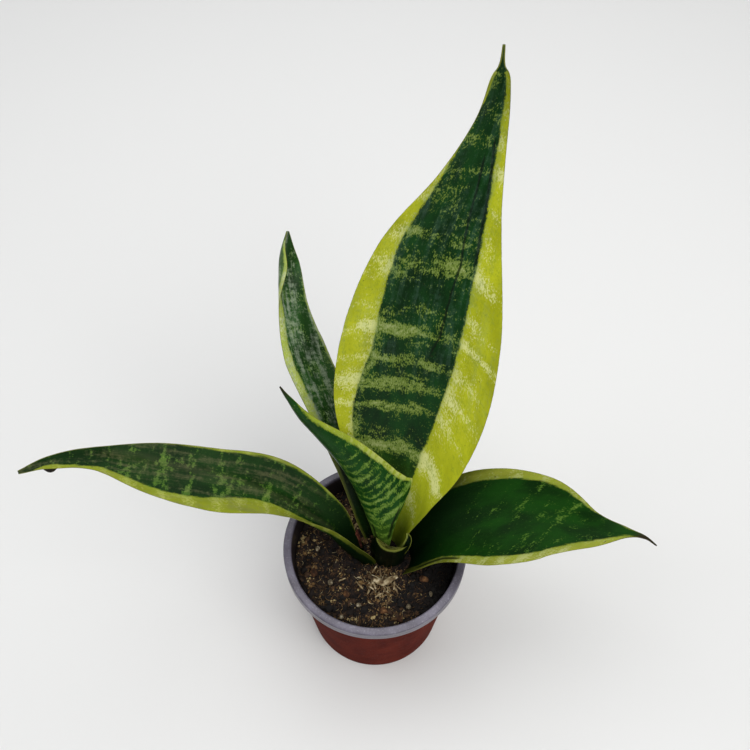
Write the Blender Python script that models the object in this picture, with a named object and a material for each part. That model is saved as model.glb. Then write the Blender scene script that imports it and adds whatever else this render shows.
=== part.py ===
"""Potted snake plant: five variegated leaves and a sheath in a 9 cm nursery pot.

Lengths are metres in the scene; the tables below are in millimetres.
The origin is the middle of the pot's underside, +Z is up and the front is -Y.
"""
import bmesh
import bpy
import numpy as np

MM = 0.001

# Driving dimensions, millimetres
POT_HEIGHT = 80.0
RIM_RADIUS = 45.0
RIM_DEPTH = 6.0
RIM_WIDTH = 4.4
BASE_RADIUS = 35.0
WALL = 1.1
POT_SEGMENTS = 48
DRAIN_HOLES = 8
DRAIN_RADIUS = 3.0
DRAIN_CIRCLE = 22.0
SOIL_TOP = 69.0
SOIL_GAP = 0.35
STEM_X = 6.0
STEM_Y = 2.0
PIT_RADIUS = 13.4
PIT_FLOOR = 50.5
STUB_RADIUS = 12.6
STUB_TOP = 61.4
LEAF_THICKNESS = 2.2
LEAF_ROWS_PER_STATION = 5
LEAF_COLUMNS = 10

# Each leaf is a row of stations from the base to the tip:
# x, y, z of the midrib, width of the left and the right half, the angle each
# half turns through as it curls up, and a roll about the midrib in degrees.
# "faces" is the way the upper side looks.
LEAVES = {
    "leaf_tall": {
        "faces": (0, -1, 0.35),
        "stations": [
            (6, 7.2, 62, 13, 13, 145, 145, 0),
            (6.5, 9.8, 76, 10.5, 15, 84, 124, 0),
            (8, 12.8, 90, 9.5, 16.5, 54, 100, 0),
            (11, 18, 104, 16, 21, 48, 72, 0),
            (15, 28, 122, 29, 29, 42, 48, 0),
            (18, 40, 148, 38, 34, 32, 31, 0),
            (21, 54, 178, 37, 34, 28, 25, 0),
            (27, 70, 208, 29, 27, 25, 25, 0),
            (37, 85, 236, 14, 15, 30, 30, 0),
            (44, 95, 258, 6.5, 8, 45, 45, 0),
            (46.5, 100, 273, 5, 4.5, 70, 70, 0),
            (47, 104, 285, 0.9, 0.9, 60, 60, 0),
        ],
    },
    "leaf_back": {
        "faces": (0.6, -1, 0.3),
        "stations": [
            (0.5, 8.7, 62, 4.5, 9.5, 32, 70, 0),
            (-4, 14, 77, 6, 11, 42, 65, 0),
            (-10, 25, 92, 7, 13, 55, 60, 0),
            (-18, 39, 110, 7.5, 14, 50, 50, 0),
            (-27, 52, 130, 8, 14, 45, 45, -5),
            (-35, 64, 152, 9, 13, 45, 45, -10),
            (-39, 75, 172, 7, 9, 60, 45, -5),
            (-41, 85, 190, 8, 8, 130, 50, 20),
            (-38, 91, 203, 0.9, 0.9, 60, 50, 20),
        ],
    },
    "leaf_young": {
        "faces": (0.3, 1, -0.2),
        "stations": [
            (6, -0.2, 62, 5.5, 5.5, 150, 150, 0),
            (5, -1.5, 80, 9.5, 8, 115, 98, 0),
            (3, 2.2, 95, 14, 9.5, 72, 68, 0),
            (-0.5, 7, 107, 19, 12, 62, 72, 0),
            (-6, 11.5, 121, 17, 11, 60, 68, 0),
            (-15, 16, 140, 11, 11, 60, 70, 0),
            (-28, 20.5, 160, 4, 9, 60, 60, 0),
            (-39, 25, 180, 0.9, 0.9, 50, 50, 0),
        ],
    },
    "leaf_right": {
        "faces": (-0.35, -0.25, 1),
        "stations": [
            (17, 2, 62, 13, 13, 70, 70, 0),
            (21, 0, 76, 17, 14.5, 60, 65, 0),
            (33, 0, 94, 22, 16.5, 45, 45, 0),
            (53, -0.5, 108, 24, 22.5, 30, 30, 0),
            (77, -3.5, 116, 19.5, 19.5, 25, 25, 0),
            (97, -11, 120, 8.5, 8.5, 30, 30, 0),
            (111, -13.5, 121, 2.5, 2, 40, 40, 0),
            (124.5, -16.5, 118, 0.9, 0.9, 40, 40, 0),
        ],
    },
    "leaf_left": {
        "faces": (0.35, -0.3, 1),
        "stations": [
            (-5.4, 1.6, 63.5, 12, 4.5, 66, 24, 0),
            (-12, -3, 76, 14, 8, 115, 34, 0),
            (-24, 1, 94, 12, 15, 105, 45, 0),
            (-47, 13, 113, 14.5, 14.5, 45, 35, 0),
            (-73, 12, 126, 17, 13.5, 30, 30, 0),
            (-100, 12, 134, 12, 12, 30, 30, 0),
            (-124, 14, 139, 5.5, 6, 40, 40, 0),
            (-143, 12, 141, 4, 2.5, 40, 40, 0),
            (-156, 7, 140, 0.9, 0.9, 40, 40, 0),
        ],
    },
    "leaf_sheath": {
        "faces": (0.1, 1, 0),
        "stations": [
            (6, -6.4, 62, 8.5, 8.5, 56, 56, 0),
            (6, -7, 70, 11.5, 11.5, 72, 72, 0),
            (6.5, -7.2, 78, 13, 13, 78, 78, 0),
            (7, -7.3, 85, 12, 12.5, 70, 74, 0),
            (7, -7.6, 90, 7, 8, 42, 48, 0),
        ],
    },
    "dried_sheath": {
        "faces": (0, -0.5, 1),
        "stations": [
            (-4, -14, 71.6, 1.5, 2, 30, 30, 0),
            (0, -15, 72.6, 4, 3.5, 45, 50, 0),
            (5, -15.5, 73, 5, 4, 60, 40, 0),
            (10, -14.5, 72.8, 4, 4, 40, 40, 0),
            (14, -14, 72, 1, 1.5, 30, 30, 0),
        ],
    },
}
THICKNESS = {"leaf_sheath": 1.3, "dried_sheath": 0.7}

# Loose pieces on the soil: x, y, radius
PERLITE = [(-22, -16, 1.7), (-8, -27, 1.3), (16, -28, 1.5), (-29, 2, 1.4), (-16, -33, 1.2), (27, -22, 1.3)]
BARK = [(-30, -11, 2.4), (4, -30, 2.2), (-14, -22, 2.0), (24, -14, 2.3), (-25, 18, 2.2), (12, -34, 1.9)]


def clear_scene():
    for item in list(bpy.data.objects):
        bpy.data.objects.remove(item, do_unlink=True)


def material(name, colour, roughness):
    mat = bpy.data.materials.new(name)
    mat.use_nodes = True
    shader = mat.node_tree.nodes["Principled BSDF"]
    shader.inputs["Base Color"].default_value = (colour[0], colour[1], colour[2], 1.0)
    shader.inputs["Roughness"].default_value = roughness
    return mat


def add_object(name, points, faces, mat):
    """Make one mesh object from points in millimetres, with every face turned outwards."""
    mesh = bpy.data.meshes.new(name)
    mesh.from_pydata([tuple(p) for p in np.asarray(points) * MM], [], faces)
    mesh.materials.append(mat)
    work = bmesh.new()
    work.from_mesh(mesh)
    bmesh.ops.recalc_face_normals(work, faces=work.faces)
    work.to_mesh(mesh)
    work.free()
    for polygon in mesh.polygons:
        polygon.use_smooth = True
    item = bpy.data.objects.new(name, mesh)
    bpy.context.scene.collection.objects.link(item)
    return item


def along(stations, t):
    """Smooth curve through the stations, evaluated at t from 0 to 1."""
    rows = np.asarray(stations, dtype=float)
    last = len(rows) - 1
    place = np.clip(t * last, 0.0, last - 1e-9)
    index = place.astype(int)
    part = (place - index)[:, None]
    padded = np.vstack([2 * rows[0] - rows[1], rows, 2 * rows[-1] - rows[-2]])
    a = padded[index]
    b = padded[index + 1]
    c = padded[index + 2]
    d = padded[index + 3]
    cubic = 3 * b - a - 3 * c + d
    square = 2 * a - 5 * b + 4 * c - d
    return 0.5 * (2 * b + (c - a) * part + square * part**2 + cubic * part**3)


def leaf_surface(leaf, t, s):
    """Middle surface of a leaf and its normals: arcs across a curved midrib."""
    rows = along(leaf["stations"], t)
    step = 1e-4
    ahead = along(leaf["stations"], np.clip(t + step, 0, 1))[:, :3]
    behind = along(leaf["stations"], np.clip(t - step, 0, 1))[:, :3]
    tangent = ahead - behind
    tangent /= np.linalg.norm(tangent, axis=1)[:, None]
    faces = np.asarray(leaf["faces"], dtype=float)
    normal = faces - (tangent @ faces)[:, None] * tangent
    normal /= np.linalg.norm(normal, axis=1)[:, None]
    side = np.cross(tangent, normal)
    roll = np.radians(rows[:, 7])[:, None]
    turned = normal * np.cos(roll) + side * np.sin(roll)
    side = side * np.cos(roll) - normal * np.sin(roll)
    normal = turned
    s = s[None, :]
    width = np.where(s < 0, rows[:, 3:4], rows[:, 4:5])
    curl = np.radians(np.where(s < 0, rows[:, 5:6], rows[:, 6:7]))
    turn = curl * s
    across = width / curl * np.sin(turn)
    depth = width / curl * (1 - np.cos(turn))
    points = rows[:, None, :3] + across[..., None] * side[:, None] + depth[..., None] * normal[:, None]
    normals = np.cos(turn)[..., None] * normal[:, None] - np.sin(turn)[..., None] * side[:, None]
    return points, normals


def leaf_solid(leaf, thickness):
    """Closed leaf blade: thick along the midrib and thin at the margins and the tip."""
    count_rows = LEAF_ROWS_PER_STATION * len(leaf["stations"]) // 2
    t = np.linspace(0.0, 1.0, count_rows)
    s = np.linspace(-1.0, 1.0, LEAF_COLUMNS + 1)
    points, normals = leaf_surface(leaf, t, s)
    half = 0.5 * thickness * (1 - 0.72 * np.abs(s) ** 3)[None, :]
    taper = (1 - 0.62 * t**3)[:, None]
    offset = (half * taper)[..., None] * normals
    upper = (points + offset).reshape(-1, 3)
    lower = (points - offset).reshape(-1, 3)
    columns = LEAF_COLUMNS + 1
    count = count_rows * columns
    faces = []
    for i in range(count_rows - 1):
        for j in range(LEAF_COLUMNS):
            a = i * columns + j
            faces.append((a, a + 1, a + columns + 1, a + columns))
            faces.append((a + count, a + columns + count, a + columns + 1 + count, a + 1 + count))
    for i in range(count_rows - 1):
        for a in (i * columns, i * columns + LEAF_COLUMNS):
            faces.append((a, a + columns, a + columns + count, a + count))
    for j in range(LEAF_COLUMNS):
        for a in (j, (count_rows - 1) * columns + j):
            faces.append((a, a + 1, a + 1 + count, a + count))
    return np.vstack([upper, lower]), faces


def ring_solid(rings, segments):
    """Closed body from stacked rings (radius, height, centre x, centre y); ends close on a point."""
    angle = np.linspace(0, 2 * np.pi, segments, endpoint=False)
    points = []
    for radius, height, cx, cy in rings[1:-1]:
        lift = height(cx + radius * np.cos(angle), cy + radius * np.sin(angle)) if callable(height) else height
        ring = np.stack([cx + radius * np.cos(angle), cy + radius * np.sin(angle), 0 * angle + lift], -1)
        points.append(ring)
    points = np.vstack(points + [[(rings[0][2], rings[0][3], rings[0][1])]])
    points = np.vstack([points, [(rings[-1][2], rings[-1][3], rings[-1][1])]])
    levels = len(rings) - 2
    first = levels * segments
    last = first + 1
    faces = []
    for j in range(segments):
        k = (j + 1) % segments
        faces.append((first, k, j))
        faces.append((last, (levels - 1) * segments + j, (levels - 1) * segments + k))
        for i in range(levels - 1):
            a = i * segments
            faces.append((a + j, a + k, a + segments + k, a + segments + j))
    return points, faces


def wall_radius(z):
    """Outer radius of the pot's tapered wall at a height."""
    top = RIM_RADIUS - RIM_WIDTH + WALL
    return BASE_RADIUS + (top - BASE_RADIUS) * z / POT_HEIGHT


def make_pot(mat):
    """Thin tapered pot with a flanged rim, a foot ring and drain holes in a raised channel."""
    inner = RIM_RADIUS - RIM_WIDTH
    low = POT_HEIGHT - RIM_DEPTH
    profile = [
        (0, 0), (13, 0), (14.5, 2), (29.5, 2), (31, 0), (BASE_RADIUS - 0.6, 0), (BASE_RADIUS, 0.8),
        (wall_radius(25), 25), (wall_radius(50), 50), (wall_radius(low), low),
        (wall_radius(low) + 0.3, POT_HEIGHT - 1.4), (RIM_RADIUS - 1.3, POT_HEIGHT - 1.6),
        (RIM_RADIUS - 1.1, low), (RIM_RADIUS, low), (RIM_RADIUS, POT_HEIGHT - 1.0),
        (RIM_RADIUS - 0.3, POT_HEIGHT - 0.3), (RIM_RADIUS - 1.1, POT_HEIGHT), (inner + 0.6, POT_HEIGHT),
        (inner, POT_HEIGHT - 0.5), (wall_radius(70) - WALL, 70), (wall_radius(35) - WALL, 35),
        (wall_radius(3.4) - WALL, 3.4), (15.2, 3.4), (13.6, 1.4), (0, 1.4),
    ]
    rings = [(radius, height, 0.0, 0.0) for radius, height in profile]
    points, faces = ring_solid(rings, POT_SEGMENTS)
    pot = add_object("pot", points, faces, mat)
    cutter_points = []
    cutter_faces = []
    for hole in range(DRAIN_HOLES):
        middle = 2 * np.pi * (hole + 0.5) / DRAIN_HOLES
        cx = DRAIN_CIRCLE * np.cos(middle)
        cy = DRAIN_CIRCLE * np.sin(middle)
        rings = [(0, 1, cx, cy), (DRAIN_RADIUS, 1, cx, cy), (DRAIN_RADIUS, 5, cx, cy), (0, 5, cx, cy)]
        points, faces = ring_solid(rings, 12)
        start = sum(len(block) for block in cutter_points)
        cutter_points.append(points)
        cutter_faces += [tuple(index + start for index in face) for face in faces]
    cutter = add_object("drain_cutter", np.vstack(cutter_points), cutter_faces, mat)
    cutter.hide_render = True
    cutter.display_type = "WIRE"
    holes = pot.modifiers.new("drain_holes", "BOOLEAN")
    holes.operation = "DIFFERENCE"
    holes.solver = "EXACT"
    holes.object = cutter


def soil_height(x, y):
    """Gently lumpy top of the potting mix."""
    lumps = 0.5 * np.sin(x * 0.31 + 0.7) * np.cos(y * 0.27) + 0.35 * np.sin(x * 0.53 - y * 0.44 + 1.9)
    return SOIL_TOP + lumps


def make_soil(mat):
    """Potting mix filling the pot, with a flared pit that holds the stub and the leaf bases."""
    inside = -WALL - SOIL_GAP
    rings = [
        (0, 3.8, 0, 0), (wall_radius(3.8) + inside, 3.8, 0, 0), (wall_radius(35) + inside, 35, 0, 0),
        (wall_radius(66) + inside, 66, 0, 0), (wall_radius(68) + inside - 0.6, 68.2, 0, 0),
        (37, soil_height, 0, 0), (33, soil_height, 1, 0.3), (29, soil_height, 2, 0.7),
        (25, soil_height, 3, 1), (21.5, soil_height, 4, 1.4), (18.5, soil_height, 5, 1.7),
        (17, 68, STEM_X - 0.6, STEM_Y - 0.1), (PIT_RADIUS, 61.2, STEM_X, STEM_Y),
        (PIT_RADIUS, PIT_FLOOR, STEM_X, STEM_Y), (0, PIT_FLOOR, STEM_X, STEM_Y),
    ]
    points, faces = ring_solid(rings, POT_SEGMENTS)
    add_object("soil", points, faces, mat)


def make_rhizome(mat):
    """Short stout stub of the underground stem that carries the leaf bases."""
    radius = STUB_RADIUS
    rings = [
        (0, PIT_FLOOR + 0.4, STEM_X, STEM_Y), (radius - 2, PIT_FLOOR + 0.4, STEM_X, STEM_Y),
        (radius, PIT_FLOOR + 2.4, STEM_X, STEM_Y), (radius, STUB_TOP - 1.2, STEM_X, STEM_Y),
        (radius - 1.2, STUB_TOP - 0.3, STEM_X, STEM_Y), (radius - 4, STUB_TOP, STEM_X, STEM_Y),
        (0, STUB_TOP, STEM_X, STEM_Y),
    ]
    points, faces = ring_solid(rings, 32)
    add_object("rhizome", points, faces, mat)


def make_grain(name, x, y, radius, flatness, mat):
    """Small faceted lump lying on the potting mix."""
    work = bmesh.new()
    bmesh.ops.create_icosphere(work, subdivisions=2, radius=1.0)
    base = np.array([vertex.co[:] for vertex in work.verts])
    faces = [tuple(vertex.index for vertex in face.verts) for face in work.faces]
    work.free()
    bump = 1 + 0.16 * np.sin(base[:, 0] * 4.1 + x) + 0.14 * np.cos(base[:, 1] * 3.7 + y + base[:, 2] * 2.9)
    lump = base * bump[:, None] * radius
    lump[:, 2] *= flatness
    spread = np.linspace(0, 2 * np.pi, 16)
    around = soil_height(x + radius * np.cos(spread), y + radius * np.sin(spread)).max()
    lump += (x, y, max(around, soil_height(x, y)) + 0.35 - lump[:, 2].min())
    add_object(name, lump, faces, mat)


def build():
    clear_scene()
    leaf_green = material("leaf_variegated", (0.05, 0.14, 0.03), 0.42)
    sheath_tan = material("dried_sheath_tan", (0.42, 0.3, 0.16), 0.85)
    pot_plastic = material("pot_plastic", (0.13, 0.05, 0.035), 0.5)
    mix = material("potting_mix", (0.045, 0.03, 0.02), 0.95)
    stub = material("rhizome_cream", (0.45, 0.33, 0.18), 0.8)
    white = material("perlite", (0.7, 0.68, 0.62), 0.9)
    bark = material("bark", (0.16, 0.09, 0.045), 0.9)
    make_pot(pot_plastic)
    make_soil(mix)
    make_rhizome(stub)
    for name, leaf in LEAVES.items():
        points, faces = leaf_solid(leaf, THICKNESS.get(name, LEAF_THICKNESS))
        add_object(name, points, faces, sheath_tan if name == "dried_sheath" else leaf_green)
    for number, (x, y, radius) in enumerate(PERLITE, start=1):
        make_grain("perlite_%d" % number, x, y, radius, 0.8, white)
    for number, (x, y, radius) in enumerate(BARK, start=1):
        make_grain("bark_%d" % number, x, y, radius, 0.55, bark)


build()
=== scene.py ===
import itertools
import math

import bpy
import numpy as np
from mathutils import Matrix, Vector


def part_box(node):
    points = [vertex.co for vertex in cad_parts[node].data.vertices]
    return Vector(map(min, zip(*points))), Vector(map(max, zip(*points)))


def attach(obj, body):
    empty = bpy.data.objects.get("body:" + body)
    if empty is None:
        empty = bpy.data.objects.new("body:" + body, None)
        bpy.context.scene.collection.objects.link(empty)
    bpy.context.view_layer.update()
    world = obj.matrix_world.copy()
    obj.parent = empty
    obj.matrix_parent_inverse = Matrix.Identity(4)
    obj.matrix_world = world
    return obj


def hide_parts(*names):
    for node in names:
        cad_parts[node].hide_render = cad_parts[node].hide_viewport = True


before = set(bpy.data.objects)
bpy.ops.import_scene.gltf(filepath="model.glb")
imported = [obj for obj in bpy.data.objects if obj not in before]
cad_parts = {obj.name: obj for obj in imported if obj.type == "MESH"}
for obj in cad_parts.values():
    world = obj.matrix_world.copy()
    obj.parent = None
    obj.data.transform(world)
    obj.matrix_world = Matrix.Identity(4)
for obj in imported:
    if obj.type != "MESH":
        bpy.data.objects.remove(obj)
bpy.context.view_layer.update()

# Young variegated snake plant in a two-tone nursery pot. Shapes are worked out in
# millimetres and turned to metres when a mesh is made. +Z is up, the front is -Y.
MM = 0.001

# ---------------------------------------------------------------- sizes, millimetres
POT_HEIGHT = 80.0
RIM_RADIUS = 45.0
RIM_DEPTH = 6.0
RIM_WIDTH = 3.9
BASE_RADIUS = 35.0
WALL = 1.1
DRAIN_HOLES = 8
DRAIN_RADIUS = 3.0
DRAIN_CIRCLE = 22.0
SOIL_TOP = 69.0
SOIL_RADIUS = 39.9
CRUMB_REACH = 39.2
FIBRE_REACH = 38.5
STEM = (6.0, 2.0)
STEM_CLEAR = 9.0
LEAF_THICKNESS = 2.2


# ---------------------------------------------------------------- mesh helpers
def new_mesh(name, points, faces):
    """Mesh from points in millimetres and arrays of faces."""
    mesh = bpy.data.meshes.new(name)
    corners = [corner for part in faces for corner in part.tolist()]
    mesh.from_pydata((np.asarray(points) * MM).tolist(), [], corners)
    return mesh


def new_object(name, data):
    """Object with this data, put into the scene."""
    thing = bpy.data.objects.new(name, data)
    bpy.context.scene.collection.objects.link(thing)
    return thing


def make_piece(name, points, faces, material, attributes, node=None):
    """Smooth mesh object that carries a value per point for each attribute; it rides the root body
    and may stand in for a node."""
    mesh = new_mesh(name, points, faces)
    mesh.materials.append(material)
    mesh.polygons.foreach_set("use_smooth", np.ones(len(mesh.polygons), dtype=bool))
    for key, values in attributes.items():
        values = np.asarray(values, dtype=np.float32)
        kind = "FLOAT_VECTOR" if values.ndim == 2 else "FLOAT"
        field = "vector" if values.ndim == 2 else "value"
        mesh.attributes.new(key, kind, "POINT").data.foreach_set(field, values.ravel())
    mesh.validate()
    mesh.update()
    piece = new_object(name, mesh)
    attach(piece, "root")
    if node:
        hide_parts(node)
    return piece


def tube_faces(rows, around):
    """Faces of a closed tube: quads between neighbouring rings, then triangles that join the first
    and the last ring to the two cap points, which follow the grid."""
    i, j = np.meshgrid(np.arange(rows - 1), np.arange(around), indexing="ij")
    k = (j + 1) % around
    quads = np.stack([i * around + j, i * around + k, (i + 1) * around + k, (i + 1) * around + j], -1)
    j = np.arange(around)
    k = (j + 1) % around
    last = (rows - 1) * around
    first_cap = np.stack([np.full(around, rows * around), k, j], -1)
    last_cap = np.stack([np.full(around, rows * around + 1), last + j, last + k], -1)
    return quads.reshape(-1, 4), np.concatenate([first_cap, last_cap])


def repeated(faces, block, count):
    """The same faces once for each of many equal blocks of points."""
    offset = block * np.arange(count)[:, None, None]
    return [(part + offset).reshape(-1, part.shape[-1]) for part in faces]


def closed_tube(grid):
    """Points of a grid of rings, followed by the middle of the first and of the last ring."""
    ends = [grid[0].mean(axis=0), grid[-1].mean(axis=0)]
    return np.vstack([grid.reshape(-1, 3), ends])


def with_ends(values):
    """A value for each grid point, with the two cap points taking their ring's mean."""
    flat = values.reshape(-1, *values.shape[2:])
    return np.concatenate([flat, values[:1].mean(axis=1), values[-1:].mean(axis=1)])


def full_turn(count):
    """Angles evenly spaced round a circle, the last one short of the first."""
    return np.linspace(0, 2 * np.pi, count, endpoint=False)


def drift(x, y, size, seed):
    """Smooth random height from -1 to 1: random values on a square lattice, eased between its
    corners."""
    table = np.random.default_rng(seed).uniform(-1, 1, (64, 64))
    u = np.asarray(x) / size + 40.3
    v = np.asarray(y) / size + 40.7
    i = np.floor(u).astype(int)
    j = np.floor(v).astype(int)
    fu = u - i
    fv = v - j
    fu = fu * fu * (3 - 2 * fu)
    fv = fv * fv * (3 - 2 * fv)
    low = table[i % 64, j % 64] * (1 - fu) + table[(i + 1) % 64, j % 64] * fu
    high = table[i % 64, (j + 1) % 64] * (1 - fu) + table[(i + 1) % 64, (j + 1) % 64] * fu
    return low * (1 - fv) + high * fv


# ---------------------------------------------------------------- material helpers
def srgb(code):
    """Linear colour, with full opacity, of a six-digit sRGB hex code."""
    parts = [int(code[k:k + 2], 16) / 255 for k in (0, 2, 4)]
    return tuple(c / 12.92 if c <= 0.04045 else ((c + 0.055) / 1.055) ** 2.4 for c in parts) + (1.0,)


def add(tree, kind, sockets=None, **settings):
    """One node of a kind, with its settings, and with each socket given a value or a link."""
    node = tree.nodes.new(kind)
    for key, value in settings.items():
        setattr(node, key, value)
    for key, value in (sockets or {}).items():
        socket = node.inputs[key]
        if isinstance(value, bpy.types.NodeSocket):
            tree.links.new(value, socket)
        else:
            socket.default_value = value
    return node


def new_material(name, **finish):
    """Principled material; each named constant is set on the shader's own socket."""
    material = bpy.data.materials.new(name)
    material.use_nodes = True
    tree = material.node_tree
    shader = tree.nodes["Principled BSDF"]
    for key, value in finish.items():
        shader.inputs[key.replace("_", " ")].default_value = value
    return material, tree, shader


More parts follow.
